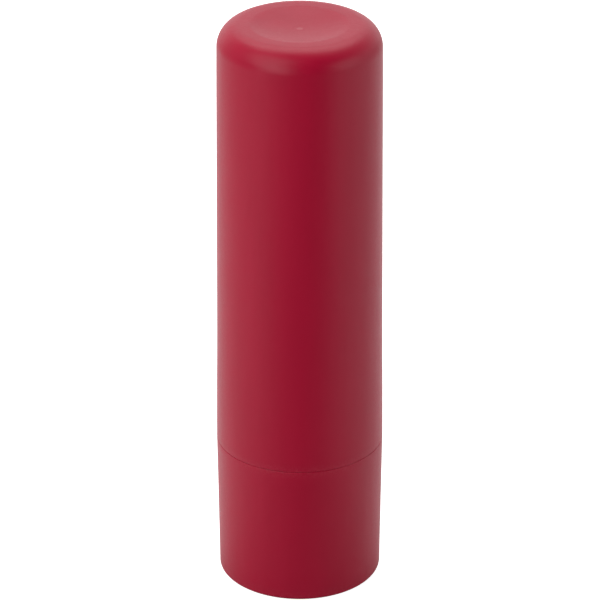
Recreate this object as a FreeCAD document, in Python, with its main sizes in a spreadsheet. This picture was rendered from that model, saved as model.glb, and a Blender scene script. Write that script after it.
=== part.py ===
import FreeCAD, Part
import math
import os
import Sketcher

# Twist-up lip balm stick, closed and standing on its base. Millimetres, +Z up, with the origin at the
# centre of the standing face. Turning the base drives the screw, which lifts the cup and the wax.

LENGTHS = {
    # Clearances
    "seam_gap": 0.1,
    "running_gap": 0.08,
    "sliding_gap": 0.1,
    "end_gap": 0.1,
    "thread_gap": 0.15,
    "wax_gap": 0.05,
    "bead_gap": 0.05,
    "centring_gap": 0.17,
    "press_overlap": 0.02,
    "cut_overrun": 1.0,
    # Base
    "base_height": 16.9,
    "base_foot_radius": 9.4,
    "base_flare": 0.23,
    "base_wall": 1.13,
    "base_floor": 1.4,
    "base_recess_depth": 0.8,
    "base_standing_ring": 1.75,
    "base_edge_bevel": 0.25,
    "base_rib_height": 4.0,
    "base_rib_thickness": 0.9,
    "base_gate_radius": 0.6,
    "base_gate_height": 0.2,
    "hub_height": 6.0,
    "hub_wall": 1.05,
    "lead_in": 0.25,
    # Snap joint between the base and the barrel
    "snap_drop": 3.6,
    "snap_width": 1.1,
    "snap_undercut": 0.25,
    "snap_ramp": 0.35,
    # Spindle
    "spindle_foot_radius": 2.3,
    "spindle_core_radius": 1.75,
    "spindle_flange_radius": 3.4,
    "spindle_flange": 1.0,
    "spindle_tip": 0.6,
    "spindle_cover": 3.8,
    "spindle_headroom": 0.5,
    "journal_set_out": 0.1,
    "crush_rib_height": 0.25,
    "crush_rib_thickness": 0.5,
    "thread_lead": 7.6,
    "thread_depth": 0.85,
    "thread_root": 1.7,
    "thread_crest": 0.9,
    "thread_plain_end": 1.2,
    # Barrel
    "barrel_floor": 1.2,
    "barrel_wall": 1.25,
    "barrel_rim_wall": 1.05,
    "barrel_rim_bevel": 0.3,
    "barrel_head_space": 3.7,
    "barrel_rib_height": 0.67,
    "barrel_rib_thickness": 0.8,
    "collar_below_seam": 1.5,
    "collar_above_seam": 1.4,
    "collar_set_back": 0.52,
    "guide_rib_height": 0.45,
    "guide_rib_thickness": 0.8,
    "guide_rib_stop": 2.0,
    # Cap
    "cap_length": 51.0,
    "cap_flare": 0.07,
    "cap_flare_length": 3.6,
    "cap_narrowing": 0.36,
    "cap_edge_radius": 2.55,
    "cap_inner_edge": 1.3,
    "cap_crown": 1.3,
    "cap_land": 1.16,
    "cap_dish_depth": 0.6,
    "cap_dish_edge_radius": 1.2,
    "cap_gate_radius": 0.3,
    "cap_gate_height": 0.12,
    "cap_rib_length": 14.0,
    "cap_rib_thickness": 0.8,
    "cap_rib_lead": 1.0,
    # Beads that hold the cap on the barrel
    "bead_height": 0.27,
    "bead_width": 0.9,
    "bead_above_seam": 4.0,
    "bead_spacing": 1.1,
    "cap_bead_height": 0.13,
    # Carrier
    "carrier_rest_gap": 0.3,
    "carrier_height": 8.0,
    "carrier_wall": 0.9,
    "carrier_floor": 1.0,
    "sleeve_height": 6.0,
    "fin_height": 4.0,
    "fin_thickness": 0.8,
    # Balm
    "balm_recess": 3.8,
    "balm_crown_rise": 0.7,
    "balm_crown_slope": 2.1,
}
SHARES = {
    # The sleeve's wall, as a share of the room between the thread groove and the cup's wall
    "sleeve_wall_share": 0.4,
}
COUNTS = {
    "base_rib_count": 6,
    "crush_rib_count": 6,
    "barrel_rib_count": 6,
    "guide_rib_count": 4,
    "cap_rib_count": 6,
}
FULL_TURN = 360.0
MATCH = 1e-4

# The sketcher's numbers for a side's start, end and centre, and for the two axes of a sketch
START, END, CENTRE = range(1, 4)
HEIGHT_AXIS, RADIUS_AXIS = range(-2, 0)


class Term:
    """A size worked out from the sheet: its value, and the expression that keeps a feature bound to it."""

    def __init__(self, value, text):
        self.value = value
        self.text = text

    def __add__(self, other):
        return Term(self.value + other.value, f"({self.text} + {other.text})")

    def __sub__(self, other):
        return Term(self.value - other.value, f"({self.text} - {other.text})")

    def __mul__(self, share):
        return Term(self.value * share.value, f"({self.text} * {share.text})")

    def __truediv__(self, divisor):
        return Term(self.value / divisor, f"({self.text} / {divisor})")


doc = FreeCAD.newDocument("lip_balm_stick")
sheet = doc.addObject("Spreadsheet::Sheet", "sizes")
size = {}
for row, (alias, number) in enumerate((LENGTHS | SHARES | COUNTS).items(), start=1):
    sheet.set(f"A{row}", alias)
    sheet.set(f"B{row}", str(number))
    sheet.setAlias(f"B{row}", alias)
    size[alias] = Term(number, f"sizes.{alias}")
doc.recompute()


def number_of(place):
    return place.value if isinstance(place, Term) else place


def new_body(name):
    body = doc.addObject("PartDesign::Body", name)
    body.Label = name
    body.Placement = FreeCAD.Placement()
    return body


def origin_feature(body, role):
    return next(feature for feature in body.Origin.OriginFeatures if feature.Role == role)


def arc_between(start, stop, centre_radius):
    """The shorter arc from start to stop whose centre is at the given radius, and its ends in that order."""
    squares = (stop.x - centre_radius) ** 2 - (start.x - centre_radius) ** 2 + stop.y**2 - start.y**2
    centre = FreeCAD.Vector(centre_radius, squares / (2 * (stop.y - start.y)), 0)
    circle = Part.Circle(centre, FreeCAD.Vector(0, 0, 1), start.distanceToPoint(centre))
    angles = [math.atan2(place.y - centre.y, place.x - centre.x) for place in (start, stop)]
    if (angles[1] - angles[0]) % (2 * math.pi) < math.pi:
        return Part.ArcOfCircle(circle, angles[0], angles[1]), START, END
    return Part.ArcOfCircle(circle, angles[1], angles[0]), END, START


def outline(body, name, corners, arcs=None, slopes=()):
    """A closed outline of (radius, height) corners in the XZ plane, each corner bound to the sheet.
    A side is known by its first corner. arcs gives the radius of an arc's centre, zero on the axis.
    slopes lists the long drafted walls: a straight spline draws each, which meshes with few facets."""
    sketch = body.newObject("Sketcher::SketchObject", name)
    sketch.AttachmentSupport = [(origin_feature(body, "XZ_Plane"), "")]
    sketch.MapMode = "FlatFace"
    arcs = arcs or {}
    places = [FreeCAD.Vector(number_of(radius), number_of(height), 0) for radius, height in corners]
    ends = []
    for index, start in enumerate(places):
        stop = places[(index + 1) % len(places)]
        first, last = START, END
        if index in arcs:
            side, first, last = arc_between(start, stop, number_of(arcs[index]))
        elif index in slopes:
            side = Part.BSplineCurve([start, stop], None, None, False, 1, None, False)
        else:
            side = Part.LineSegment(start, stop)
        sketch.addGeometry(side)
        ends.append((first, last))
    for index, (first, last) in enumerate(ends):
        after = (index + 1) % len(ends)
        sketch.addConstraint(Sketcher.Constraint("Coincident", index, last, after, ends[after][0]))
    for index, corner in enumerate(corners):
        for direction, place in zip(("DistanceX", "DistanceY"), corner):
            pin(sketch, index, ends[index][0], direction, place)
    for index, centre_radius in arcs.items():
        pin(sketch, index, CENTRE, "DistanceX", centre_radius)
    return sketch


def pin(sketch, side, end, direction, place):
    """Fix one coordinate of a corner: a bound distance from the origin, or a place on an axis for zero."""
    if isinstance(place, Term):
        index = sketch.addConstraint(Sketcher.Constraint(direction, side, end, place.value))
        sketch.setExpression(f"Constraints[{index}]", place.text)
    else:
        axis = HEIGHT_AXIS if direction == "DistanceX" else RADIUS_AXIS
        sketch.addConstraint(Sketcher.Constraint("PointOnObject", side, end, axis))


def revolve(body, sketch, name, kind="PartDesign::Revolution"):
    feature = body.newObject(kind, name)
    feature.Profile = sketch
    feature.ReferenceAxis = (sketch, ["V_Axis"])
    feature.Angle = FULL_TURN
    sketch.Visibility = False
    doc.recompute()
    return feature


def blade(body, sketch, name, thickness, count, kind="PartDesign::Pad"):
    """A blade drawn in the XZ plane, as thick each way, repeated evenly round the axis."""
    before = body.Shape.Volume
    feature = body.newObject(kind, name)
    feature.Profile = sketch
    feature.SideType = "Symmetric"
    feature.setExpression("Length", thickness.text)
    sketch.Visibility = False
    doc.recompute()
    pattern = body.newObject("PartDesign::PolarPattern", f"{name}s")
    pattern.Originals = [feature]
    pattern.Axis = (origin_feature(body, "Z_Axis"), [""])
    pattern.Angle = FULL_TURN
    pattern.setExpression("Occurrences", count.text)
    body.Tip = pattern
    doc.recompute()
    require_change(body, name, before, kind == "PartDesign::Pad")
    return pattern


def helix(body, sketch, name, height, kind):
    """A right-hand ridge or groove of the thread's lead, swept from the outline in the sketch."""
    before = body.Shape.Volume
    feature = body.newObject(kind, name)
    feature.Profile = sketch
    feature.ReferenceAxis = (sketch, ["V_Axis"])
    feature.Mode = "pitch-height-angle"
    feature.setExpression("Pitch", size["thread_lead"].text)
    feature.setExpression("Height", height.text)
    feature.Angle = 0
    feature.LeftHanded = False
    feature.Reversed = False
    sketch.Visibility = False
    doc.recompute()
    require_change(body, name, before, kind == "PartDesign::AdditiveHelix")
    return feature


def ring_edges(shape, rings):
    """Names of the circular edges about the axis at the given (radius, height) rings."""
    names = []
    for index, edge in enumerate(shape.Edges, start=1):
        if edge.Degenerated or not isinstance(edge.Curve, Part.Circle):
            continue
        for radius, height in rings:
            off_ring = abs(edge.Curve.Radius - radius.value) + abs(edge.Curve.Center.z - number_of(height))
            if off_ring < MATCH:
                names.append(f"Edge{index}")
    if not names:
        raise ValueError("no edge lies on the rings to be rounded")
    return names


def round_rings(body, name, radius, *rings):
    base = body.Tip
    feature = body.newObject("PartDesign::Fillet", name)
    feature.Base = (base, ring_edges(base.Shape, rings))
    feature.setExpression("Radius", radius.text)
    doc.recompute()
    return feature


def bevel_rings(body, name, width, *rings):
    base = body.Tip
    feature = body.newObject("PartDesign::Chamfer", name)
    feature.Base = (base, ring_edges(base.Shape, rings))
    feature.setExpression("Size", width.text)
    doc.recompute()
    return feature


def require_change(body, name, before, added):
    after = body.Shape.Volume
    if after <= before if added else after >= before:
        raise ValueError(f"{body.Label}: {name} changed nothing")


# Heights shared by pieces that stack on each other
floor_top = size["base_recess_depth"] + size["base_floor"]
hub_top = floor_top + size["hub_height"]
flange_top = hub_top + size["spindle_flange"]
barrel_bottom = flange_top + size["end_gap"]
barrel_floor_top = barrel_bottom + size["barrel_floor"]
snap_middle = size["base_height"] - size["snap_drop"]
snap_bottom = snap_middle - size["snap_width"] / 2
snap_top = snap_middle + size["snap_width"] / 2
collar_bottom = size["base_height"] - size["collar_below_seam"]
collar_top = size["base_height"] + size["collar_above_seam"]
cap_mouth = size["base_height"] + size["seam_gap"]
cap_step = collar_top + size["end_gap"]
cap_bead_middle = size["base_height"] + size["bead_above_seam"] - size["bead_spacing"]
barrel_bead_middle = size["base_height"] + size["bead_above_seam"]
cap_top = cap_mouth + size["cap_length"]
dish_bottom = cap_top - size["cap_dish_depth"]
ceiling = dish_bottom - size["cap_crown"]
barrel_top = ceiling - size["barrel_head_space"]
balm_top = barrel_top - size["balm_recess"]
balm_shoulder = balm_top - size["balm_crown_rise"]
spindle_top = balm_top - size["spindle_cover"]
carrier_bottom = barrel_floor_top + size["carrier_rest_gap"]
carrier_floor_top = carrier_bottom + size["carrier_floor"]
carrier_top = carrier_bottom + size["carrier_height"]
sleeve_top = carrier_bottom + size["sleeve_height"]
fin_top = carrier_floor_top + size["fin_height"]

# Radii shared by pieces that fit in each other
base_rim = size["base_foot_radius"] + size["base_flare"]
base_bore = size["base_foot_radius"] - size["base_wall"]
base_recess = size["base_foot_radius"] - size["base_standing_ring"]
snap_ring = base_bore + size["snap_undercut"]
snap_groove = snap_ring + size["running_gap"]
collar = base_bore - size["running_gap"]
barrel_lower = collar - size["barrel_rib_height"]
barrel_neck = collar - size["collar_set_back"]
barrel_bore = barrel_lower - size["barrel_wall"]
barrel_rim = barrel_bore + size["barrel_rim_wall"]
barrel_bead = barrel_neck + size["bead_height"]
cap_mouth_bore = collar + size["sliding_gap"]
cap_bead = barrel_bead + size["bead_gap"]
cap_bore = cap_bead + size["cap_bead_height"]
cap_rib = barrel_rim + size["centring_gap"]
cap_body = base_rim - size["cap_flare"]
cap_shoulder = cap_body - size["cap_narrowing"]
cap_dish = cap_shoulder - size["cap_edge_radius"] - size["cap_land"]
crush_rib = size["spindle_foot_radius"] + size["crush_rib_height"]
socket = crush_rib - size["press_overlap"]
hub = socket + size["hub_wall"]
thread_tip = size["spindle_core_radius"] + size["thread_depth"]
journal = thread_tip + size["journal_set_out"]
barrel_hole = journal + size["running_gap"]
sleeve_bore = size["spindle_core_radius"] + size["thread_gap"]
sleeve_groove = thread_tip + size["thread_gap"]
carrier_outside = barrel_bore - size["sliding_gap"]
carrier_inside = carrier_outside - size["carrier_wall"]
sleeve = sleeve_groove + (carrier_inside - sleeve_groove) * size["sleeve_wall_share"]
guide_rib = barrel_bore - size["guide_rib_height"]
notch = guide_rib - size["sliding_gap"]
notch_thickness = size["guide_rib_thickness"] + size["sliding_gap"] + size["sliding_gap"]


def thread_outline(body, name, middle, root_radius, tip_radius, widening=None):
    """The trapezium that a thread sweeps, widened on each flank for a groove."""
    half_root = size["thread_root"] / 2
    half_tip = size["thread_crest"] / 2
    if widening:
        half_root = half_root + widening
        half_tip = half_tip + widening
    corners = [
        (root_radius, middle - half_root),
        (tip_radius, middle - half_tip),
        (tip_radius, middle + half_tip),
        (root_radius, middle + half_root),
    ]
    return outline(body, name, corners)


def make_base():
    """Turning knob: closed recessed underside, hub for the spindle, floor ribs and a snap groove."""
    body = new_body("base")
    shell = outline(
        body,
        "base_outline",
        [
            (0, size["base_recess_depth"]),
            (base_recess, size["base_recess_depth"]),
            (base_recess, 0),
            (size["base_foot_radius"] - size["base_edge_bevel"], 0),
            (size["base_foot_radius"], size["base_edge_bevel"]),
            (base_rim, size["base_height"]),
            (base_bore, size["base_height"]),
            (base_bore, floor_top),
            (hub, floor_top),
            (hub, hub_top),
            (socket, hub_top),
            (socket, floor_top),
            (0, floor_top),
        ],
        slopes=[4],
    )
    revolve(body, shell, "base_shell")

    before = body.Shape.Volume
    groove_bottom = snap_bottom - size["end_gap"]
    groove_top = snap_top + size["end_gap"]
    groove = outline(
        body,
        "snap_groove_outline",
        [
            (base_bore - size["cut_overrun"], groove_bottom),
            (snap_groove, groove_bottom),
            (snap_groove, groove_top),
            (base_bore - size["cut_overrun"], groove_top),
        ],
    )
    revolve(body, groove, "snap_groove", "PartDesign::Groove")
    require_change(body, "snap_groove", before, False)

    bevel_rings(body, "mouth_lead_in", size["lead_in"], (base_bore, size["base_height"]), (socket, hub_top))

    rib_bottom = floor_top - size["base_floor"] / 2
    rib_top = floor_top + size["base_rib_height"]
    rib = outline(
        body,
        "floor_rib_outline",
        [
            (hub - size["hub_wall"] / 2, rib_bottom),
            (base_bore + size["base_wall"] / 2, rib_bottom),
            (base_bore + size["base_wall"] / 2, rib_top),
            (hub - size["hub_wall"] / 2, rib_top),
        ],
    )
    blade(body, rib, "floor_rib", size["base_rib_thickness"], size["base_rib_count"])

    gate = outline(
        body,
        "base_gate_outline",
        [
            (0, floor_top - size["base_floor"] / 2),
            (size["base_gate_radius"], floor_top - size["base_floor"] / 2),
            (size["base_gate_radius"], size["base_recess_depth"] - size["base_gate_height"]),
            (0, size["base_recess_depth"] - size["base_gate_height"]),
        ],
    )
    revolve(body, gate, "base_gate_mark")
    return body


def make_spindle():
    """Screw: a foot with crush ribs, a thrust flange, a journal and a coarse right-hand thread."""
    body = new_body("spindle")
    rod = outline(
        body,
        "spindle_outline",
        [
            (0, floor_top),
            (size["spindle_foot_radius"], floor_top),
            (size["spindle_foot_radius"], hub_top),
            (size["spindle_flange_radius"], hub_top),
            (size["spindle_flange_radius"], flange_top),
            (journal, flange_top),
            (journal, barrel_floor_top),
            (size["spindle_core_radius"], barrel_floor_top),
            (size["spindle_core_radius"], spindle_top - size["spindle_tip"]),
            (size["spindle_core_radius"] - size["spindle_tip"], spindle_top),
            (0, spindle_top),
        ],
    )
    revolve(body, rod, "spindle_rod")

    rib = outline(
        body,
        "crush_rib_outline",
        [
            (size["spindle_foot_radius"] - size["crush_rib_height"], floor_top),
            (size["spindle_foot_radius"], floor_top),
            (crush_rib, floor_top + size["lead_in"]),
            (crush_rib, hub_top),
            (size["spindle_foot_radius"] - size["crush_rib_height"], hub_top),
        ],
    )
    blade(body, rib, "crush_rib", size["crush_rib_thickness"], size["crush_rib_count"])

    ridge_root = size["spindle_core_radius"] - size["thread_gap"]
    ridge = thread_outline(body, "thread_ridge_outline", barrel_floor_top, ridge_root, thread_tip)
    ridge_top = spindle_top - size["thread_plain_end"] - size["thread_root"] / 2
    helix(body, ridge, "thread_ridge", ridge_top - barrel_floor_top, "PartDesign::AdditiveHelix")
    return body


def make_barrel():
    """Inner tube: a floor with the spindle's bearing, a snap ring, bearing ribs, a collar that the cap
    seats on, a bead that holds the cap, and guide ribs down the bore."""
    body = new_body("barrel")
    bead_bottom = barrel_bead_middle - size["bead_width"] / 2
    bead_top = barrel_bead_middle + size["bead_width"] / 2
    tube = outline(
        body,
        "barrel_outline",
        [
            (barrel_hole, barrel_bottom),
            (barrel_lower, barrel_bottom),
            (barrel_lower, snap_bottom),
            (snap_ring, snap_bottom + size["snap_ramp"]),
            (snap_ring, snap_top),
            (barrel_lower, snap_top),
            (barrel_lower, collar_bottom),
            (collar, collar_bottom),
            (collar, collar_top),
            (barrel_neck, collar_top),
            (barrel_neck, bead_bottom),
            (barrel_bead, barrel_bead_middle),
            (barrel_neck, bead_top),
            (barrel_rim, barrel_top - size["barrel_rim_bevel"]),
            (barrel_rim - size["barrel_rim_bevel"], barrel_top),
            (barrel_bore, barrel_top),
            (barrel_bore, barrel_floor_top),
            (barrel_hole, barrel_floor_top),
        ],
        slopes=[12],
    )
    revolve(body, tube, "barrel_tube")
    bevel_rings(body, "collar_lead_in", size["lead_in"], (collar, collar_top))

    bearing = outline(
        body,
        "bearing_rib_outline",
        [
            (barrel_lower - size["barrel_wall"] / 2, barrel_bottom),
            (barrel_lower, barrel_bottom),
            (collar, barrel_bottom + size["barrel_rib_height"]),
            (collar, collar_bottom + size["collar_below_seam"] / 2),
            (barrel_lower - size["barrel_wall"] / 2, collar_bottom + size["collar_below_seam"] / 2),
        ],
    )
    blade(body, bearing, "bearing_rib", size["barrel_rib_thickness"], size["barrel_rib_count"])

    guide = outline(
        body,
        "guide_rib_outline",
        [
            (guide_rib, barrel_floor_top - size["barrel_floor"] / 2),
            (barrel_bore + size["barrel_rim_wall"] / 2, barrel_floor_top - size["barrel_floor"] / 2),
            (barrel_bore + size["barrel_rim_wall"] / 2, barrel_top - size["guide_rib_stop"]),
            (barrel_bore, barrel_top - size["guide_rib_stop"]),
            (guide_rib, barrel_top - size["guide_rib_stop"] - size["guide_rib_height"]),
        ],
    )
    blade(body, guide, "guide_rib", size["guide_rib_thickness"], size["guide_rib_count"])
    return body


def notches(body, bottom, top):
    """Slots down the outside of a piece that slides in the barrel, one over each guide rib."""
    slot = outline(
        body,
        "notch_outline",
        [
            (notch, bottom - size["cut_overrun"]),
            (barrel_bore + size["cut_overrun"], bottom - size["cut_overrun"]),
            (barrel_bore + size["cut_overrun"], top + size["cut_overrun"]),
            (notch, top + size["cut_overrun"]),
        ],
    )
    blade(body, slot, "notch", notch_thickness, size["guide_rib_count"], "PartDesign::Pocket")


def make_carrier():
    """Lifting cup: a threaded sleeve in the middle, fins that grip the wax and notches for the ribs."""
    body = new_body("carrier")
    cup = outline(
        body,
        "carrier_outline",
        [
            (sleeve_bore, carrier_bottom),
            (carrier_outside, carrier_bottom),
            (carrier_outside, carrier_top),
            (carrier_inside, carrier_top),
            (carrier_inside, carrier_floor_top),
            (sleeve, carrier_floor_top),
            (sleeve, sleeve_top),
            (sleeve_bore, sleeve_top),
        ],
    )
    revolve(body, cup, "carrier_cup")

    fin = outline(
        body,
        "fin_outline",
        [
            ((sleeve + sleeve_groove) / 2, carrier_floor_top - size["carrier_floor"] / 2),
            (carrier_inside + size["carrier_wall"] / 4, carrier_floor_top - size["carrier_floor"] / 2),
            (carrier_inside + size["carrier_wall"] / 4, fin_top),
            ((sleeve + sleeve_groove) / 2, fin_top),
        ],
    )
    blade(body, fin, "fin", size["fin_thickness"], size["guide_rib_count"])
    notches(body, carrier_bottom, carrier_top)

    groove_start = barrel_floor_top - size["thread_lead"]
    groove = thread_outline(
        body,
        "thread_groove_outline",
        groove_start,
        size["spindle_core_radius"],
        sleeve_groove,
        widening=size["thread_gap"],
    )
    groove_height = sleeve_top + size["thread_lead"] - groove_start
    helix(body, groove, "thread_groove", groove_height, "PartDesign::SubtractiveHelix")
    return body


def make_balm():
    """Wax stick cast on the carrier: it fills the cup, stands round the spindle and has a low crown."""
    body = new_body("balm")
    stick = outline(
        body,
        "balm_outline",
        [
            (sleeve_groove, sleeve_top + size["wax_gap"]),
            (sleeve + size["wax_gap"], sleeve_top + size["wax_gap"]),
            (sleeve + size["wax_gap"], carrier_floor_top),
            (carrier_inside - size["wax_gap"], carrier_floor_top),
            (carrier_inside - size["wax_gap"], carrier_top),
            (carrier_outside, carrier_top),
            (carrier_outside, balm_shoulder),
            (carrier_outside - size["balm_crown_slope"], balm_top),
            (0, balm_top),
            (0, spindle_top + size["spindle_headroom"]),
            (sleeve_groove, spindle_top + size["spindle_headroom"]),
        ],
    )
    revolve(body, stick, "balm_stick")

    slot = outline(
        body,
        "fin_slot_outline",
        [
            (sleeve, carrier_floor_top - size["cut_overrun"]),
            (carrier_inside, carrier_floor_top - size["cut_overrun"]),
            (carrier_inside, fin_top + size["wax_gap"]),
            (sleeve, fin_top + size["wax_gap"]),
        ],
    )
    fin_slot_thickness = size["fin_thickness"] + size["wax_gap"] + size["wax_gap"]
    blade(body, slot, "fin_slot", fin_slot_thickness, size["guide_rib_count"], "PartDesign::Pocket")
    notches(body, carrier_top, balm_top)
    return body


def make_cap():
    """Long cap: a closed dished end with a soft edge, a seat step and a bead near the mouth, and ribs
    that centre it on the barrel's rim."""
    body = new_body("cap")
    bead_bottom = cap_bead_middle - size["bead_width"] / 2
    bead_top = cap_bead_middle + size["bead_width"] / 2
    shell = outline(
        body,
        "cap_outline",
        [
            (base_rim, cap_mouth),
            (cap_body, cap_mouth + size["cap_flare_length"]),
            (cap_shoulder, cap_top - size["cap_edge_radius"]),
            (cap_shoulder - size["cap_edge_radius"], cap_top),
            (cap_dish, cap_top),
            (0, dish_bottom),
            (0, ceiling),
            (cap_bore - size["cap_inner_edge"], ceiling),
            (cap_bore, ceiling - size["cap_inner_edge"]),
            (cap_bore, bead_top),
            (cap_bead, cap_bead_middle),
            (cap_bore, bead_bottom),
            (cap_bore, cap_step),
            (cap_mouth_bore, cap_step),
            (cap_mouth_bore, cap_mouth),
        ],
        arcs={2: cap_shoulder - size["cap_edge_radius"], 4: 0},
        slopes=[0, 1],
    )
    revolve(body, shell, "cap_shell")
    round_rings(body, "dish_edge", size["cap_dish_edge_radius"], (cap_dish, cap_top))

    rib_root = (cap_bore + cap_shoulder) / 2
    rib = outline(
        body,
        "centring_rib_outline",
        [
            (rib_root, ceiling - size["cap_rib_length"]),
            (rib_root, ceiling),
            (cap_rib, ceiling),
            (cap_rib, ceiling - size["cap_rib_length"] + size["cap_rib_lead"]),
            (cap_bore, ceiling - size["cap_rib_length"]),
        ],
    )
    blade(body, rib, "centring_rib", size["cap_rib_thickness"], size["cap_rib_count"])

    gate = outline(
        body,
        "cap_gate_outline",
        [
            (0, dish_bottom - size["cap_crown"] / 2),
            (size["cap_gate_radius"], dish_bottom - size["cap_crown"] / 2),
            (size["cap_gate_radius"], dish_bottom + size["cap_gate_height"]),
            (0, dish_bottom + size["cap_gate_height"]),
        ],
    )
    revolve(body, gate, "cap_gate_mark")
    return body


pieces = [make_base(), make_spindle(), make_barrel(), make_carrier(), make_balm(), make_cap()]
doc.recompute()

for item in doc.Objects:
    if "Invalid" in item.State or "Error" in item.State:
        raise ValueError(f"{item.Name} failed: {item.State}")
for piece in pieces:
    if piece.Shape.isNull() or not piece.Shape.isValid() or len(piece.Shape.Solids) != 1:
        raise ValueError(f"{piece.Label} is not one valid solid")

os.makedirs("parts", exist_ok=True)
for piece in pieces:
    piece.Shape.exportStep(f"parts/{piece.Label}.step")
    print(piece.Label, round(piece.Shape.Volume, 2), "mm3")
print("travel of the carrier", round(spindle_top.value - sleeve_top.value, 3), "mm")
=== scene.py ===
import math

import bmesh
import bpy
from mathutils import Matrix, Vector


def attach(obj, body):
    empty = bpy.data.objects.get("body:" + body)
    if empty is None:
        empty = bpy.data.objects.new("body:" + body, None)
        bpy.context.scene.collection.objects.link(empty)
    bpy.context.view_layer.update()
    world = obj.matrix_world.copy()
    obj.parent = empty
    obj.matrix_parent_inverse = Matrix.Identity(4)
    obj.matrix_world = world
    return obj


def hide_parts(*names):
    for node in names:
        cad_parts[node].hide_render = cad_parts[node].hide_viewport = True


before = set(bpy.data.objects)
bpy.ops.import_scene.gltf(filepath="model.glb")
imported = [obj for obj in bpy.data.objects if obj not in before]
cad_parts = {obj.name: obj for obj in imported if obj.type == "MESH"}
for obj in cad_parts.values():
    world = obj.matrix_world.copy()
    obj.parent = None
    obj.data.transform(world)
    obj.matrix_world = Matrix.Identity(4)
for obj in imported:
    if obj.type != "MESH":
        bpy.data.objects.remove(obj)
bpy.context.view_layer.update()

MM = 0.001
FULL_TURN = 2 * math.pi

# How finely the turned forms are cut
ROUND_STEPS = 6
PLAIN_SEGMENTS = 144
SHOULDER_STEPS = 20
# The least angle between an even segment and a blade's flank
CLOSEST_ANGLE = math.radians(0.7)
# Edges bent by more than this are sharp
SHARP_ANGLE = math.radians(38)
# The largest share of a side that one rounding takes
SIDE_SHARE = 0.49
# A smaller radius lies on the axis
ON_AXIS = 1e-6
# Room round a named place, where points are picked by their place
SLACK = 0.01

# Heights in millimetres, where the solids have them
STANDING = 0.0
BASE_MARK_FACE = 0.6
RECESS = 0.8
FLOOR_TOP = 2.2
FLOOR_RIB_TOP = 6.2
HUB_TOP = 8.2
BARREL_BOTTOM = 9.3
BEARING_RIB_BOTTOM = 9.97
BARREL_FLOOR_TOP = 10.5
CUP_FLOOR_TOP = 11.8
SNAP_GROOVE_BOTTOM = 12.65
SNAP_RING_SLOPE = 12.75
SNAP_RING_BOTTOM = 13.1
SNAP_RING_TOP = 13.85
SNAP_GROOVE_TOP = 13.95
COLLAR_BOTTOM = 15.4
SLEEVE_TOP = 16.85
CAP_MOUTH = 17.0
COLLAR_TOP = 18.3
CAP_STEP = 18.4
CUP_TOP = 18.8
CAP_BEAD_MIDDLE = 19.8
BARREL_BEAD_MIDDLE = 20.9
BEAD_REACH = 0.45
CENTRING_RIB_BOTTOM = 52.1
CENTRING_RIB_LEAD = 53.1
BALM_HOLLOW_TOP = 55.3
BALM_TOP = 58.6
GUIDE_RIB_TOP = 59.95
GUIDE_RIB_RUNOUT = 60.4
BARREL_TOP = 62.4
CEILING = 66.1
CAP_TOP = 68.0
# The base reaches a little higher than its solid, for a finer seam
BASE_TOP = 16.989

# Radii in millimetres
BASE_MARK = 0.6
HUB_SOCKET = 2.53
EDGE_RADIUS = 2.61
BALM_HOLLOW = 2.75
BARREL_HOLE = 2.78
HUB = 3.58
SLEEVE_RECESS = 3.78
BALM_IN_CUP = 5.22
DISH = 5.49
NOTCH = 5.72
GUIDE_RIB = 5.82
FLOOR_RIB_MIDDLE = 6.0
BALM = 6.17
BARREL_BORE = 6.27
BARREL_RIM = 7.32
CAP_RIB = 7.49
BARREL_LOWER = 7.52
STANDING_RING = 7.65
BARREL_NECK = 7.67
BARREL_BEAD = 7.94
CAP_BEAD = 7.99
CAP_BORE = 8.12
COLLAR = 8.19
BASE_BORE = 8.27
CAP_MOUTH_BORE = 8.29
SNAP_RING = 8.52
SNAP_GROOVE = 8.6
SHOULDER = 9.2
SEAM = 9.628

# Roundings in millimetres
CRISP_ROUND = 0.05
KEEN_ROUND = 0.08
FINE_ROUND = 0.1
SLIGHT_ROUND = 0.12
EASED_ROUND = 0.15
SOFT_ROUND = 0.2
BORE_RIM_ROUND = 0.22
FULL_ROUND = 0.25
WIDE_ROUND = 0.3
BROAD_ROUND = 0.32
BALM_ROUND = 0.45
CEILING_ROUND = 1.7
DISH_ROUND = 1.8

# Ribs and notches: how many, their width and the softness of their flanks, in millimetres
RIB_COUNT = 6
GUIDE_COUNT = 4
RIB_WIDTH = 0.8
FLOOR_RIB_WIDTH = 0.9
NOTCH_WIDTH = 1.0
RIB_SOFTNESS = 0.06
NOTCH_SOFTNESS = 0.12
# Where the flank is cut, in shares of its softness
FLANK_SHARES = (-1.0, -0.35, 0.35, 1.0)

# Wall of the base, in millimetres: its radius at the foot, its draft and its slow widening
BASE_FOOT = 9.406
BASE_DRAFT = 0.0115
BASE_WIDENING = 0.0001
BASE_WALL_HEIGHTS = (1.5, 4.0, 6.5, 9.0, 11.5, 14.0, 16.0)

# Wall of the cap, in millimetres: its radius at a gauge height, its draft and the swell towards the mouth
CAP_GAUGE_HEIGHT = 34.0
CAP_GAUGE_RADIUS = 9.447
CAP_DRAFT = 0.0076
CAP_SWELL = 0.052
CAP_SWELL_HEIGHT = 26.0
CAP_SWELL_LENGTH = 1.6
CAP_WALL_HEIGHTS = (18.0, 20.0, 22.0, 23.5, 25.0, 26.5, 28.0, 29.5, 31.0, 34.0, 44.0, 54.0, 63.0)

# Dish in the cap's top and the low gate mark in its middle, in millimetres
DISH_DEPTH = 0.6
DISH_RADII = (5.0, 4.3, 3.5, 2.7, 1.9, 1.2, 0.7)
GATE = 0.38
GATE_RISE = 0.035
GATE_SHARES = (1.0, 0.86, 0.7, 0.5, 0.25, 0.0)
# The share of the gate mark that is paler
GATE_PALE_SHARE = 0.95

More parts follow.
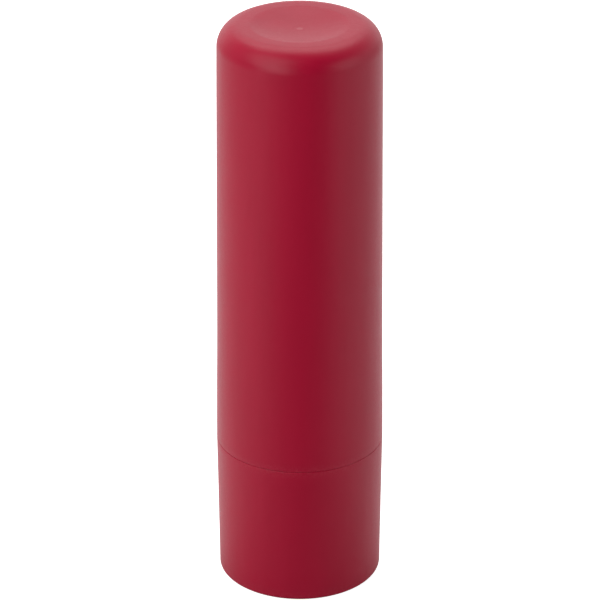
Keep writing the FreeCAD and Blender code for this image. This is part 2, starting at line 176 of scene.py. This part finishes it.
# Taper of the barrel as (radius, height), and the rings that keep long walls even, in millimetres
BARREL_TAPER = ((7.60, 30.0), (7.48, 44.0), (7.37, 57.0))
BARREL_BORE_RING = 35.0
BALM_RINGS = (30.0, 44.0)

# Crown of the balm, in millimetres
CROWN_DROP = 0.62
CROWN_POWER = 2.6
CROWN_RADII = (5.2, 4.4, 3.6, 2.8, 2.0, 1.2, 0.6)

# Noises of the plastics: how many features a millimetre holds, their detail and their roughness
FLOW = (0.32, 3.0)
MOTTLE = (2.6, 4.0, 0.6)
SPECK = (11.0, 2.0)
RUB = (3.4, 5.0, 0.65)
GRAIN = (34.0, 1.0)
SINK = (0.5, 1.0)
# Flow marks and sinks run along the axis
FLOW_STRETCH = (1.0, 1.0, 0.18)
# The band of a noise that is used, and the range that it gives
FLOW_BAND = (0.35, 0.65)
BLOTCH_BAND = (0.35, 0.7, 0.0, 0.22)
RUB_BAND = (0.42, 0.66)
ROUGH_BAND = (0.3, 0.7)
ROUGH_SPREAD = 0.03
RUBBED_ROUGHER = 0.08
GRAIN_SHARE = 0.5

# Noises of the wax, as those of the plastics
CLOUD = (0.45, 4.0, 0.55)
PORE_SCALE = 1.5
PORE_CHOICE = (0.9, 1.0)
RIPPLE = (0.8, 3.0)
SMEAR = (7.0, 5.0, 0.7)
RIPPLE_STRETCH = (0.5, 0.5, 1.6)
CLOUD_BAND = (0.35, 0.65)
PIT_BAND = (0.03, 0.11)
CHOICE_BAND = (0.52, 0.56)
WAX_ROUGH_BAND = (0.3, 0.7, 0.30, 0.46)
# Relief of the wax, in millimetres
RIPPLE_RELIEF = 0.09
PIT_RELIEF = 0.06
SMEAR_RELIEF = 0.012
# How light bends in the wax, how much of it passes in, and how far, in millimetres
WAX_IOR = 1.44
WAX_GLOW = 0.6
WAX_GLOW_RADIUS = (1.4, 1.1, 0.7)

# Camera at the photograph's viewing angle: degrees above the horizon, and metres
CAMERA_ELEVATION = 26.215
CAMERA_PLACE = (0.0, -0.355, 0.20899)
CAMERA_LENS = 208.0
CAMERA_SENSOR = 36.0
CAMERA_SHIFT = 0.0005
CAMERA_NEAR = 0.01
CAMERA_FAR = 20.0

# Sheet that the stick stands on, in metres
SHEET_REACH = 3.0
SHEET_DROP = 0.00002
# The first band is where the painted contact shadow round the stick's foot fades out
FOOT_SHADE_BAND = (0.01, 0.05)
WEDGE_BAND = (-0.06, 0.04)
WHITE_BAND = (0.15, 0.5)
# Greys of the sheet: at the stick's foot, darker there as a painted contact shadow, before it, elsewhere,
# and as the camera sees it near the stick
SHADE_GREY_AT_FOOT = 0.05
GREY_BEFORE = 0.2
GREY_SHEET = 0.8
GREY_SEEN = 0.9

# Light of the room, and how bright the room and the sheet are in reflections
ROOM_BAND = (-0.5, 0.3)
ROOM_LIGHT = 0.465
ROOM_SHINE = 0.665
SHEET_SHINE = 0.22

# The lamps face this point, in metres
LAMP_AIM = Vector((0.0, 0.0, 0.045))
# Name, azimuth and elevation in degrees, distance, width and height in metres, and power in watts
LAMPS = (
    ("key", -50, 42, 0.30, 0.26, 0.26, 0.521),
    ("front_left", -34, 10, 0.45, 0.34, 0.24, 0.628),
    ("left", -95, 10, 0.40, 0.36, 0.26, 0.027),
    ("right", 95, 12, 0.40, 0.32, 0.26, 0.132),
    ("right_front", 64, 14, 0.42, 0.26, 0.26, 0.368),
    ("top", 180, 62, 0.33, 0.30, 0.22, 0.55),
    ("back", 180, 15, 0.45, 1.00, 0.32, 0.55),
)


# Materials

def colour(red, green, blue):
    return (red, green, blue, 1.0)


def grey(level):
    return colour(level, level, level)


class Tree:
    """The nodes of one material or world."""

    def __init__(self, owner):
        owner.use_nodes = True
        self.tree = owner.node_tree
        self.tree.nodes.clear()

    def give(self, socket, value):
        """Links a socket or sets a value."""
        if isinstance(value, bpy.types.NodeSocket):
            self.tree.links.new(value, socket)
        else:
            socket.default_value = value

    def add(self, kind, inputs=None, **settings):
        made = self.tree.nodes.new(kind)
        for name, value in settings.items():
            setattr(made, name, value)
        for key, value in (inputs or {}).items():
            self.give(made.inputs[key], value)
        return made

    def noise(self, place, scale, detail=2.0, roughness=0.5):
        return self.add("ShaderNodeTexNoise", {
            "Vector": place, "Scale": scale, "Detail": detail, "Roughness": roughness,
        }).outputs["Fac"]

    def ramp(self, value, low, high, to_low=0.0, to_high=1.0):
        return self.add("ShaderNodeMapRange", {
            "Value": value, "From Min": low, "From Max": high, "To Min": to_low, "To Max": to_high,
        }).outputs["Result"]

    def smooth(self, value, low, high):
        return self.add("ShaderNodeMapRange", {
            "Value": value, "From Min": low, "From Max": high,
        }, interpolation_type="SMOOTHSTEP").outputs["Result"]

    def maths(self, operation, first, second):
        return self.add("ShaderNodeMath", {0: first, 1: second}, operation=operation).outputs[0]

    def mixed(self, factor, first, second):
        """A colour between two others, by a factor."""
        made = self.add("ShaderNodeMix", data_type="RGBA")
        sockets = {s.identifier: s for s in made.inputs}
        for identifier, value in (("Factor_Float", factor), ("A_Color", first), ("B_Color", second)):
            self.give(sockets[identifier], value)
        return next(s for s in made.outputs if s.identifier == "Result_Color")

    def attribute(self, name):
        return self.add("ShaderNodeAttribute", attribute_name=name).outputs["Fac"]

    def millimetres(self, stretch=(1.0, 1.0, 1.0)):
        """Object coordinates in millimetres, squeezed along an axis where the detail runs along it."""
        place = self.add("ShaderNodeTexCoord").outputs["Object"]
        scale = tuple(s / MM for s in stretch)
        return self.add("ShaderNodeMapping", {"Vector": place, "Scale": scale}).outputs["Vector"]

    def bump(self, height, relief, normal=None):
        """The normal of a relief in millimetres, over another normal where one is given."""
        inputs = {"Height": height, "Strength": 1.0, "Distance": relief * MM}
        if normal is not None:
            inputs["Normal"] = normal
        return self.add("ShaderNodeBump", inputs).outputs["Normal"]

    def light(self, kind, shade, strength):
        return self.add(kind, {"Color": shade, "Strength": strength}).outputs[0]

    def either(self, factor, first, second):
        """The first shader where the factor is zero, and the second where it is one."""
        return self.add("ShaderNodeMixShader", {0: factor, 1: first, 2: second}).outputs[0]


def moulded(name, tint, deep, worn, finish):
    """Injection-moulded plastic: faint flow marks, a fine matt grain, soft sinks and paler rubbed edges."""
    material = bpy.data.materials.new(name)
    tree = Tree(material)
    place = tree.millimetres()
    along = tree.millimetres(FLOW_STRETCH)
    flow = tree.ramp(tree.noise(along, *FLOW), *FLOW_BAND)
    mottle = tree.noise(place, *MOTTLE)
    speck = tree.noise(place, *SPECK)
    body = tree.mixed(flow, tint, deep)
    body = tree.mixed(tree.ramp(mottle, *BLOTCH_BAND), body, deep)
    rub = tree.maths("MULTIPLY", tree.attribute("wear"), tree.ramp(tree.noise(place, *RUB), *RUB_BAND))
    body = tree.mixed(tree.maths("MULTIPLY", rub, finish["wear"]), body, worn)
    body = tree.mixed(tree.attribute("gate"), body, worn)
    rough = tree.maths(
        "ADD",
        tree.ramp(mottle, *ROUGH_BAND, finish["rough"] - ROUGH_SPREAD, finish["rough"] + ROUGH_SPREAD),
        tree.maths("MULTIPLY", rub, RUBBED_ROUGHER),
    )
    grain = tree.maths("ADD", speck, tree.maths("MULTIPLY", tree.noise(place, *GRAIN), GRAIN_SHARE))
    fine = tree.bump(grain, finish["grain"])
    shader = tree.add("ShaderNodeBsdfPrincipled", {
        "Base Color": body,
        "Roughness": rough,
        "Normal": tree.bump(tree.noise(along, *SINK), finish["sink"], fine),
        "IOR": finish["ior"],
        "Subsurface Weight": finish["glow"],
        "Subsurface Radius": finish["glow_radius"],
        "Subsurface Scale": MM,
    })
    tree.add("ShaderNodeOutputMaterial", {"Surface": shader.outputs[0]})
    return material


def waxy(name, tint, deep, pit_shade):
    """Balm wax: pale and faintly cloudy, with casting ripples and pin holes painted darker as painted
    shade, and lit a little way in.
    """
    material = bpy.data.materials.new(name)
    tree = Tree(material)
    place = tree.millimetres()
    cloud = tree.ramp(tree.noise(place, *CLOUD), *CLOUD_BAND)
    body = tree.mixed(cloud, tint, deep)
    pore = tree.add("ShaderNodeTexVoronoi", {"Vector": place, "Scale": PORE_SCALE}).outputs["Distance"]
    # Only some of the cells hold a pin hole
    chosen = tree.ramp(tree.noise(place, *PORE_CHOICE), *CHOICE_BAND)
    pit = tree.maths("MAXIMUM", tree.ramp(pore, *PIT_BAND), tree.maths("SUBTRACT", 1.0, chosen))
    # The pin holes are painted darker: painted shade in the pits, on top of their bump relief
    body = tree.mixed(pit, pit_shade, body)
    ripple = tree.noise(tree.millimetres(RIPPLE_STRETCH), *RIPPLE)
    smear = tree.noise(place, *SMEAR)
    rippled = tree.bump(ripple, RIPPLE_RELIEF)
    pitted = tree.bump(pit, PIT_RELIEF, rippled)
    shader = tree.add("ShaderNodeBsdfPrincipled", {
        "Base Color": body,
        "Roughness": tree.ramp(smear, *WAX_ROUGH_BAND),
        "Normal": tree.bump(smear, SMEAR_RELIEF, pitted),
        "IOR": WAX_IOR,
        "Subsurface Weight": WAX_GLOW,
        "Subsurface Radius": WAX_GLOW_RADIUS,
        "Subsurface Scale": MM,
    })
    tree.add("ShaderNodeOutputMaterial", {"Surface": shader.outputs[0]})
    return material


RED = moulded(
    "red_satin_plastic",
    tint=colour(0.384, 0.0014, 0.0275),
    deep=colour(0.366, 0.0011, 0.0255),
    worn=colour(0.43, 0.05, 0.076),
    finish={
        "rough": 0.38, "grain": 0.0035, "sink": 0.02, "wear": 0.3, "ior": 1.34,
        "glow": 0.0, "glow_radius": (1.0, 0.1, 0.1),
    },
)
WHITE = moulded(
    "white_polypropylene",
    tint=colour(0.83, 0.82, 0.79),
    deep=colour(0.79, 0.78, 0.745),
    worn=colour(0.88, 0.88, 0.87),
    finish={
        "rough": 0.36, "grain": 0.002, "sink": 0.02, "wear": 0.5, "ior": 1.49,
        "glow": 0.25, "glow_radius": (1.2, 1.1, 0.9),
    },
)
# The wax's darkest tint is painted shade for its pin holes
WAX = waxy(
    "balm_wax",
    tint=colour(0.88, 0.80, 0.63),
    deep=colour(0.85, 0.76, 0.58),
    pit_shade=colour(0.66, 0.55, 0.38),
)


# Turned forms

def rounding(before, corner, after, radius):
    """Points of the arc that rounds a corner, from the side before it to the side after it."""
    to_before = (before - corner).normalized()
    to_after = (after - corner).normalized()
    half = to_before.angle(to_after) / 2
    longest = SIDE_SHARE * min((before - corner).length, (after - corner).length)
    reach = min(radius / math.tan(half), longest)
    centre = corner + (to_before + to_after).normalized() * reach / math.cos(half)
    first = corner + to_before * reach - centre
    last = corner + to_after * reach - centre
    shares = [step / ROUND_STEPS for step in range(ROUND_STEPS + 1)]
    return [centre + first.slerp(last, share) * first.length for share in shares]


def outline(corners, closed):
    """(radius, height, rounding) corners in millimetres, as (radius, height, wear) points."""
    places = [Vector((r, z)) for r, z, _ in corners]
    points = []
    for index, (place, (_, _, radius)) in enumerate(zip(places, corners)):
        between = closed or 0 < index < len(corners) - 1
        if radius and between:
            bend = rounding(places[index - 1], place, places[(index + 1) % len(places)], radius)
            points += [(p.x, p.y, 1.0) for p in bend]
        else:
            points.append((place.x, place.y, 0.0))
    return points


def blade_angles(blades):
    """Angles that follow each blade's flanks closely."""
    angles = []
    for blade in blades:
        for index in range(blade["count"]):
            middle = FULL_TURN * index / blade["count"]
            for share in FLANK_SHARES:
                offset = (blade["width"] / 2 + share * blade["soft"]) / blade["radius"]
                angles += [middle - offset, middle + offset]
    return angles


def blade_weight(blade, angle):
    """One on the blade, zero beside it, and smooth across its softened flank."""
    pitch = FULL_TURN / blade["count"]
    away = abs((angle + pitch / 2) % pitch - pitch / 2) * blade["radius"]
    share = (away - blade["width"] / 2) / (2 * blade["soft"]) + 0.5
    share = min(max(share, 0.0), 1.0)
    return 1.0 - share * share * (3 - 2 * share)


def angle_between(first, second):
    """The smaller angle between two directions round the axis."""
    return abs((first - second + math.pi) % FULL_TURN - math.pi)


def ring_angles(blades):
    """Even angles round the axis, and closer ones at the blades' flanks."""
    flanks = sorted(a % FULL_TURN for a in blade_angles(blades))
    even = [FULL_TURN * i / PLAIN_SEGMENTS for i in range(PLAIN_SEGMENTS)]
    apart = [a for a in even if all(angle_between(a, flank) > CLOSEST_ANGLE for flank in flanks)]
    return sorted(apart + flanks)


def bladed(radius, height, angle, blades):
    """Where the blades bring a point of the outline, at one angle."""
    r, z = radius, height
    for blade in blades:
        weight = blade_weight(blade, angle)
        if weight:
            to_r, to_z = blade["place"](radius, height)
            r += weight * (to_r - radius)
            z += weight * (to_z - height)
    return r, z


def turned(name, points, closed, blades=(), mark=None):
    """A turned mesh.

    Each blade moves the points that its place function names, for ribs and notches. A mark is the radius
    and the lowest height of a paler moulding mark on the axis.
    """
    angles = ring_angles(blades)
    mesh = bmesh.new()
    wear = mesh.verts.layers.float.new("wear")
    gate = mesh.verts.layers.float.new("gate")
    rings = []
    for radius, height, worn in points:
        on_mark = 1.0 if mark and radius < mark[0] and height > mark[1] else 0.0
        if radius < ON_AXIS:
            places = [(0.0, 0.0, height * MM)]
        else:
            places = []
            for angle in angles:
                r, z = bladed(radius, height, angle, blades)
                places.append((r * math.cos(angle) * MM, r * math.sin(angle) * MM, z * MM))
        ring = [mesh.verts.new(place) for place in places]
        for vertex in ring:
            vertex[wear] = worn
            vertex[gate] = on_mark
        rings.append(ring)
    following = rings[1:] + rings[:1] if closed else rings[1:]
    for lower, upper in zip(rings, following):
        for i in range(len(angles)):
            after = (i + 1) % len(angles)
            if len(lower) == 1:
                mesh.faces.new((lower[0], upper[i], upper[after]))
            elif len(upper) == 1:
                mesh.faces.new((lower[i], lower[after], upper[0]))
            else:
                mesh.faces.new((lower[i], lower[after], upper[after], upper[i]))
    bmesh.ops.recalc_face_normals(mesh, faces=mesh.faces)
    data = bpy.data.meshes.new(name)
    mesh.to_mesh(data)
    mesh.free()
    data.shade_smooth()
    data.set_sharp_from_angle(angle=SHARP_ANGLE)
    piece = bpy.data.objects.new(name, data)
    bpy.context.scene.collection.objects.link(piece)
    return piece


def dressed(piece, material, body, slot, *nodes):
    """Gives a piece its material and its body, and hides the solids that it replaces. The slot is not used.
    """
    piece.data.materials.append(material)
    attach(piece, body)
    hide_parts(*nodes)


# Base

def base_radius(z):
    """The base widens steadily towards the seam."""
    return BASE_FOOT + BASE_DRAFT * z + BASE_WIDENING * z * z


base_corners = [
    (0.0, BASE_MARK_FACE, 0.0),
    (BASE_MARK, BASE_MARK_FACE, KEEN_ROUND),
    (BASE_MARK, RECESS, CRISP_ROUND),
    (STANDING_RING, RECESS, SOFT_ROUND),
    (STANDING_RING, STANDING, FULL_ROUND),
    (base_radius(0.0), STANDING, BROAD_ROUND),
    *[(base_radius(z), z, 0.0) for z in BASE_WALL_HEIGHTS],
    (SEAM, BASE_TOP, KEEN_ROUND),
    (BASE_BORE, BASE_TOP, SOFT_ROUND),
    (BASE_BORE, SNAP_GROOVE_TOP, CRISP_ROUND),
    (SNAP_GROOVE, SNAP_GROOVE_TOP, CRISP_ROUND),
    (SNAP_GROOVE, SNAP_GROOVE_BOTTOM, CRISP_ROUND),
    (BASE_BORE, SNAP_GROOVE_BOTTOM, CRISP_ROUND),
    (BASE_BORE, FLOOR_RIB_TOP, 0.0),
    (BASE_BORE, FLOOR_TOP, 0.0),
    (HUB, FLOOR_TOP, 0.0),
    (HUB, FLOOR_RIB_TOP, 0.0),
    (HUB, HUB_TOP, EASED_ROUND),
    (HUB_SOCKET, HUB_TOP, SOFT_ROUND),
    (HUB_SOCKET, FLOOR_TOP, 0.0),
    (0.0, FLOOR_TOP, 0.0),
]


def floor_rib(radius, height):
    """Lifts the floor between the hub and the wall to the rib's top."""
    on_floor = HUB - SLACK < radius < BASE_BORE + SLACK and RECESS + SLACK < height < FLOOR_RIB_TOP
    return (radius, FLOOR_RIB_TOP) if on_floor else (radius, height)


base = turned(
    "base_knob",
    outline(base_corners, False),
    False,
    [{
        "count": RIB_COUNT, "width": FLOOR_RIB_WIDTH, "radius": FLOOR_RIB_MIDDLE, "soft": RIB_SOFTNESS,
        "place": floor_rib,
    }],
)
dressed(base, RED, "base", "red_plastic", "base")


# Cap

def cap_radius(z):
    """A straight draft that swells a little over the lowest ten millimetres."""
    swell = CAP_SWELL / (1.0 + math.exp((z - CAP_SWELL_HEIGHT) / CAP_SWELL_LENGTH))
    return CAP_GAUGE_RADIUS - CAP_DRAFT * (z - CAP_GAUGE_HEIGHT) + swell


def arc(centre_r, centre_z, radius, start, stop, steps):
    """Points of a circle's arc, between two angles in degrees."""
    angles = [math.radians(start + (stop - start) * i / steps) for i in range(steps + 1)]
    return [(centre_r + radius * math.cos(a), centre_z + radius * math.sin(a), 0.0) for a in angles]


dish_sphere = (DISH * DISH + DISH_DEPTH * DISH_DEPTH) / (2 * DISH_DEPTH)
dish_bottom = CAP_TOP - DISH_DEPTH


def dish_height(r):
    return dish_bottom + dish_sphere - math.sqrt(dish_sphere * dish_sphere - r * r)


def gate_height(share):
    """The gate mark is a low dome in the middle of the dish."""
    return dish_height(GATE * share) + GATE_RISE * (1 - share * share)


# From the middle of the ceiling down the bore to the mouth, and up the outside to the gate mark
cap_corners = [
    (0.0, CEILING, 0.0),
    (CAP_BORE, CEILING, CEILING_ROUND),
    (CAP_BORE, CENTRING_RIB_LEAD, 0.0),
    (CAP_BORE, CENTRING_RIB_BOTTOM, 0.0),
    (CAP_BORE, CAP_BEAD_MIDDLE + BEAD_REACH, SOFT_ROUND),
    (CAP_BEAD, CAP_BEAD_MIDDLE, FULL_ROUND),
    (CAP_BORE, CAP_BEAD_MIDDLE - BEAD_REACH, SOFT_ROUND),
    (CAP_BORE, CAP_STEP, CRISP_ROUND),
    (CAP_MOUTH_BORE, CAP_STEP, CRISP_ROUND),
    (CAP_MOUTH_BORE, CAP_MOUTH, EASED_ROUND),
    (SEAM, CAP_MOUTH, KEEN_ROUND),
    *[(cap_radius(z), z, 0.0) for z in CAP_WALL_HEIGHTS],
    *arc(SHOULDER - EDGE_RADIUS, CAP_TOP - EDGE_RADIUS, EDGE_RADIUS, 0, 90, SHOULDER_STEPS),
    (DISH, CAP_TOP, DISH_ROUND),
    *[(r, dish_height(r), 0.0) for r in DISH_RADII],
    *[(GATE * share, gate_height(share), 0.0) for share in GATE_SHARES],
]


def centring_rib(radius, height):
    """Brings the upper bore in to the rib's face."""
    on_bore = CAP_RIB < radius < CAP_BORE + SLACK and CENTRING_RIB_BOTTOM < height < CEILING + SLACK
    return (CAP_RIB, height) if on_bore else (radius, height)


cap = turned(
    "cap_shell",
    outline(cap_corners, False),
    False,
    [{
        "count": RIB_COUNT, "width": RIB_WIDTH, "radius": CAP_BORE, "soft": RIB_SOFTNESS,
        "place": centring_rib,
    }],
    (GATE_PALE_SHARE * GATE, CEILING + SLACK),
)
dressed(cap, RED, "cap", "red_plastic", "cap")


# Barrel

barrel_corners = [
    (BARREL_HOLE, BARREL_BOTTOM, FINE_ROUND),
    (BARREL_LOWER, BARREL_BOTTOM, FINE_ROUND),
    (BARREL_LOWER, BEARING_RIB_BOTTOM, 0.0),
    (BARREL_LOWER, SNAP_RING_SLOPE, CRISP_ROUND),
    (SNAP_RING, SNAP_RING_BOTTOM, SLIGHT_ROUND),
    (SNAP_RING, SNAP_RING_TOP, KEEN_ROUND),
    (BARREL_LOWER, SNAP_RING_TOP, CRISP_ROUND),
    (BARREL_LOWER, COLLAR_BOTTOM, CRISP_ROUND),
    (COLLAR, COLLAR_BOTTOM, FINE_ROUND),
    (COLLAR, COLLAR_TOP, FULL_ROUND),
    (BARREL_NECK, COLLAR_TOP, EASED_ROUND),
    (BARREL_NECK, BARREL_BEAD_MIDDLE - BEAD_REACH, WIDE_ROUND),
    (BARREL_BEAD, BARREL_BEAD_MIDDLE, WIDE_ROUND),
    (BARREL_NECK, BARREL_BEAD_MIDDLE + BEAD_REACH, WIDE_ROUND),
    *[(r, z, 0.0) for r, z in BARREL_TAPER],
    (BARREL_RIM, BARREL_TOP, BROAD_ROUND),
    (BARREL_BORE, BARREL_TOP, BORE_RIM_ROUND),
    (BARREL_BORE, GUIDE_RIB_RUNOUT, 0.0),
    (BARREL_BORE, GUIDE_RIB_TOP, 0.0),
    (BARREL_BORE, BARREL_BORE_RING, 0.0),
    (BARREL_BORE, BARREL_FLOOR_TOP, WIDE_ROUND),
    (BARREL_HOLE, BARREL_FLOOR_TOP, FINE_ROUND),
]


def bearing_rib(radius, height):
    """Brings the wall below the collar out to the collar, and leaves the snap ring."""
    lowest = BEARING_RIB_BOTTOM - SLACK
    highest = COLLAR_BOTTOM + FINE_ROUND
    outside = radius > BARREL_LOWER - SLACK and lowest < height < highest
    return (max(radius, COLLAR), height) if outside else (radius, height)


def guide_rib(radius, height):
    """Brings the bore in to the rib's face."""
    along_rib = BARREL_FLOOR_TOP < height < GUIDE_RIB_TOP + SLACK
    on_bore = GUIDE_RIB < radius < BARREL_BORE + SLACK and along_rib
    return (GUIDE_RIB, height) if on_bore else (radius, height)


barrel = turned(
    "barrel_tube",
    outline(barrel_corners, True),
    True,
    [
        {
            "count": RIB_COUNT, "width": RIB_WIDTH, "radius": BARREL_LOWER, "soft": RIB_SOFTNESS,
            "place": bearing_rib,
        },
        {
            "count": GUIDE_COUNT, "width": RIB_WIDTH, "radius": BARREL_BORE, "soft": RIB_SOFTNESS,
            "place": guide_rib,
        },
    ],
)
dressed(barrel, WHITE, "barrel", "white_plastic", "barrel")


# Balm

def crown_height(r):
    return BALM_TOP - CROWN_DROP * (r / BALM) ** CROWN_POWER


balm_corners = [
    (0.0, BALM_HOLLOW_TOP, 0.0),
    (BALM_HOLLOW, BALM_HOLLOW_TOP, SOFT_ROUND),
    (BALM_HOLLOW, SLEEVE_TOP, 0.0),
    (SLEEVE_RECESS, SLEEVE_TOP, 0.0),
    (SLEEVE_RECESS, CUP_FLOOR_TOP, 0.0),
    (BALM_IN_CUP, CUP_FLOOR_TOP, 0.0),
    (BALM_IN_CUP, CUP_TOP, 0.0),
    (BALM, CUP_TOP, 0.0),
    *[(BALM, z, 0.0) for z in BALM_RINGS],
    (BALM, crown_height(BALM), BALM_ROUND),
    *[(r, crown_height(r), 0.0) for r in CROWN_RADII],
    (0.0, BALM_TOP, 0.0),
]


def balm_notch(radius, height):
    """Brings the side above the cup in to the notch's floor."""
    outside = radius > NOTCH and height > CUP_TOP - SLACK
    return (NOTCH, height) if outside else (radius, height)


balm = turned(
    "balm_stick",
    outline(balm_corners, False),
    False,
    [{
        "count": GUIDE_COUNT, "width": NOTCH_WIDTH, "radius": BALM, "soft": NOTCH_SOFTNESS,
        "place": balm_notch,
    }],
)
dressed(balm, WAX, "carrier", "wax", "balm")


# The screw and the cup keep their solids
for name in ("spindle", "carrier"):
    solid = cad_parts[name]
    solid.data.materials.clear()
    solid.data.materials.append(WHITE)


# Camera

camera_data = bpy.data.cameras.new("camera")
camera_data.sensor_width = CAMERA_SENSOR
camera_data.lens = CAMERA_LENS
camera_data.shift_x = CAMERA_SHIFT
camera_data.clip_start = CAMERA_NEAR
camera_data.clip_end = CAMERA_FAR
camera = bpy.data.objects.new("camera", camera_data)
bpy.context.scene.collection.objects.link(camera)
camera.location = CAMERA_PLACE
camera.rotation_euler = (math.radians(90.0 - CAMERA_ELEVATION), 0.0, 0.0)
bpy.context.scene.camera = camera


# Floor, surroundings and lamps

def pale_sheet(name):
    """The sheet: pale, darker in a wedge before the stick, darkest at its foot as a painted contact shadow,
    and white to the camera.
    """
    material = bpy.data.materials.new(name)
    tree = Tree(material)
    place = tree.add("ShaderNodeTexCoord").outputs["Object"]
    across = tree.add("ShaderNodeSeparateXYZ", {"Vector": place}).outputs
    aside = tree.maths("ADD", across["Y"], tree.maths("ABSOLUTE", across["X"], 0.0))
    sweep = tree.smooth(aside, *WEDGE_BAND)
    spread = tree.add("ShaderNodeVectorMath", {0: place}, operation="LENGTH").outputs["Value"]
    # Darkest near the foot: a painted contact shadow, which dims the light that the sheet throws back onto
    # the stick's foot
    before = tree.mixed(tree.smooth(spread, *FOOT_SHADE_BAND), grey(SHADE_GREY_AT_FOOT), grey(GREY_BEFORE))
    paper = tree.add("ShaderNodeBsdfDiffuse", {"Color": tree.mixed(sweep, before, grey(GREY_SHEET))})
    seen = tree.mixed(tree.smooth(spread, *WHITE_BAND), grey(GREY_SEEN), grey(1.0))
    lift = tree.light("ShaderNodeEmission", seen, 1.0)
    shine = tree.light("ShaderNodeEmission", sweep, SHEET_SHINE)
    nothing = tree.light("ShaderNodeEmission", grey(0.0), 0.0)
    rays = tree.add("ShaderNodeLightPath").outputs
    mirrored = tree.either(rays["Is Glossy Ray"], nothing, shine)
    glow = tree.either(rays["Is Camera Ray"], mirrored, lift)
    both = tree.add("ShaderNodeAddShader", {0: paper.outputs[0], 1: glow})
    tree.add("ShaderNodeOutputMaterial", {"Surface": both.outputs[0]})
    return material


def pale_room(name):
    """The room: pale behind the stick and at its sides, dark before it, and white to the camera."""
    world = bpy.data.worlds.new(name)
    tree = Tree(world)
    place = tree.add("ShaderNodeTexCoord").outputs["Generated"]
    behind = tree.add("ShaderNodeSeparateXYZ", {"Vector": place}).outputs["Y"]
    room = tree.mixed(tree.smooth(behind, *ROOM_BAND), grey(0.0), grey(1.0))
    dim = tree.light("ShaderNodeBackground", room, ROOM_LIGHT)
    mirror = tree.light("ShaderNodeBackground", room, ROOM_SHINE)
    white = tree.light("ShaderNodeBackground", grey(1.0), 1.0)
    rays = tree.add("ShaderNodeLightPath").outputs
    unseen = tree.either(rays["Is Glossy Ray"], dim, mirror)
    shown = tree.either(rays["Is Camera Ray"], unseen, white)
    tree.add("ShaderNodeOutputWorld", {"Surface": shown})
    return world


floor_data = bpy.data.meshes.new("floor")
floor_data.from_pydata(
    [(x * SHEET_REACH, y * SHEET_REACH, 0.0) for x, y in ((-1, -1), (1, -1), (1, 1), (-1, 1))],
    [],
    [(0, 1, 2, 3)],
)
floor_data.materials.append(pale_sheet("pale_floor"))
floor = bpy.data.objects.new("floor", floor_data)
bpy.context.scene.collection.objects.link(floor)
floor.location.z = -SHEET_DROP

bpy.context.scene.world = pale_room("studio")


def softbox(name, azimuth, elevation, distance, width, height, power):
    """A soft panel round the stick, its angles in degrees from the camera's side."""
    around, up = math.radians(azimuth), math.radians(elevation)
    aim = Vector((math.sin(around) * math.cos(up), -math.cos(around) * math.cos(up), math.sin(up)))
    data = bpy.data.lights.new(name, "AREA")
    data.shape = "RECTANGLE"
    data.size = width
    data.size_y = height
    data.energy = power
    lamp = bpy.data.objects.new(name, data)
    bpy.context.scene.collection.objects.link(lamp)
    lamp.location = LAMP_AIM + aim * distance
    lamp.rotation_mode = "QUATERNION"
    lamp.rotation_quaternion = aim.to_track_quat("Z", "Y")
    lamp.visible_camera = False


for panel in LAMPS:
    softbox(*panel)

bpy.context.scene.view_settings.view_transform = "Standard"
